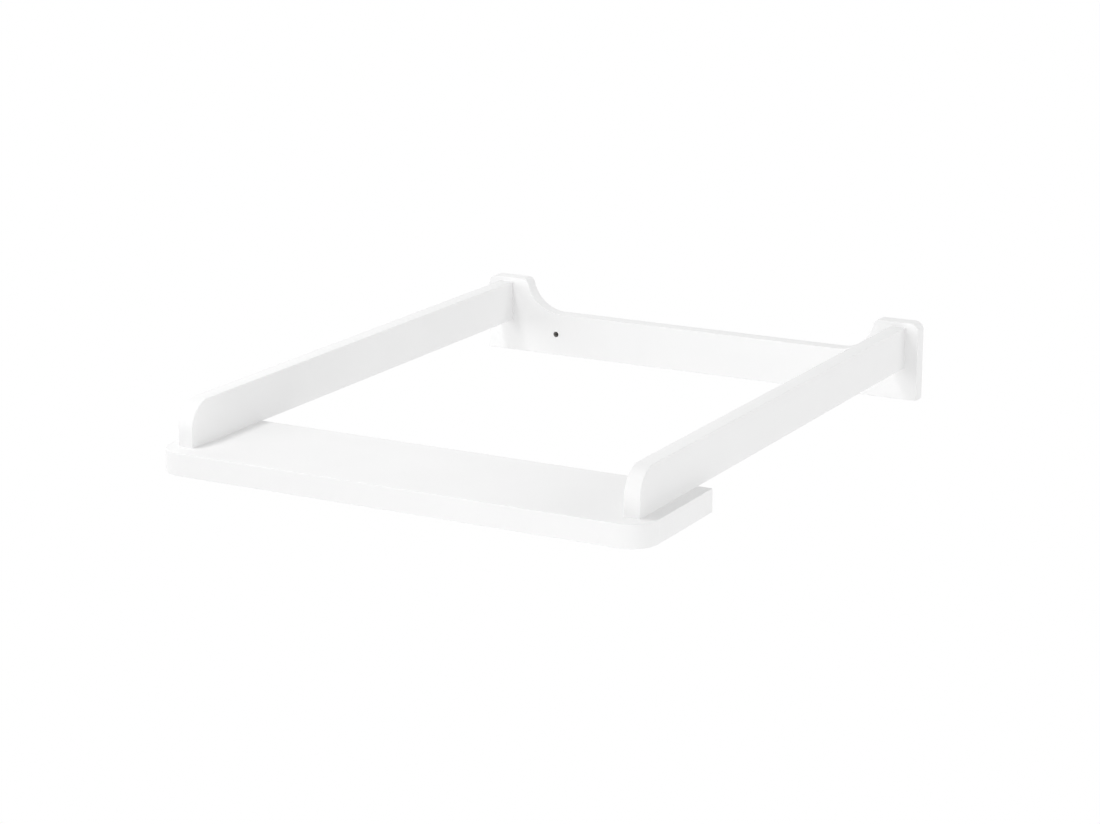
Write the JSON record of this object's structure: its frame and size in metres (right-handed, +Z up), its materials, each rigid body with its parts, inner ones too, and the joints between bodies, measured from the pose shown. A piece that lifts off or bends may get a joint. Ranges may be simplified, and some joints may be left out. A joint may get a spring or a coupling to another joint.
{
  "type": "changing top for a dresser",
  "caption": "Low white changing top that sits on a dresser: a flat front board, side rails on edge and a back board with raised ears that is screwed to the dresser's rear edge.",
  "frame": {"origin": "midway between the two fixing holes, on the back board's front face", "axes": "+X to the right seen from the front, -Y towards the front edge where the carer stands, +Z up"},
  "size_m": [0.57, 0.718, 0.092],
  "materials": {
    "white_lacquer": "satin white lacquer",
    "zinc_plated_steel": "bright zinc plating",
    "zinc_alloy": "as cast",
    "beech": "bare wood"
  },
  "bodies": {
    "root": {"front_board": "white_lacquer", "left_rail": "white_lacquer", "right_rail": "white_lacquer", "back_board": "white_lacquer", "left_front_bolt_1": "zinc_plated_steel", "left_front_bolt_2": "zinc_plated_steel", "right_front_bolt_1": "zinc_plated_steel", "right_front_bolt_2": "zinc_plated_steel", "left_rear_bolt": "zinc_plated_steel", "right_rear_bolt": "zinc_plated_steel", "left_barrel_nut": "zinc_plated_steel", "right_barrel_nut": "zinc_plated_steel", "left_front_insert_1": "zinc_alloy", "left_front_insert_2": "zinc_alloy", "right_front_insert_1": "zinc_alloy", "right_front_insert_2": "zinc_alloy", "left_front_dowel_1": "beech", "left_front_dowel_2": "beech", "left_rear_dowel_1": "beech", "left_rear_dowel_2": "beech", "right_front_dowel_1": "beech", "right_front_dowel_2": "beech", "right_rear_dowel_1": "beech", "right_rear_dowel_2": "beech"}
  },
  "joints": []
}
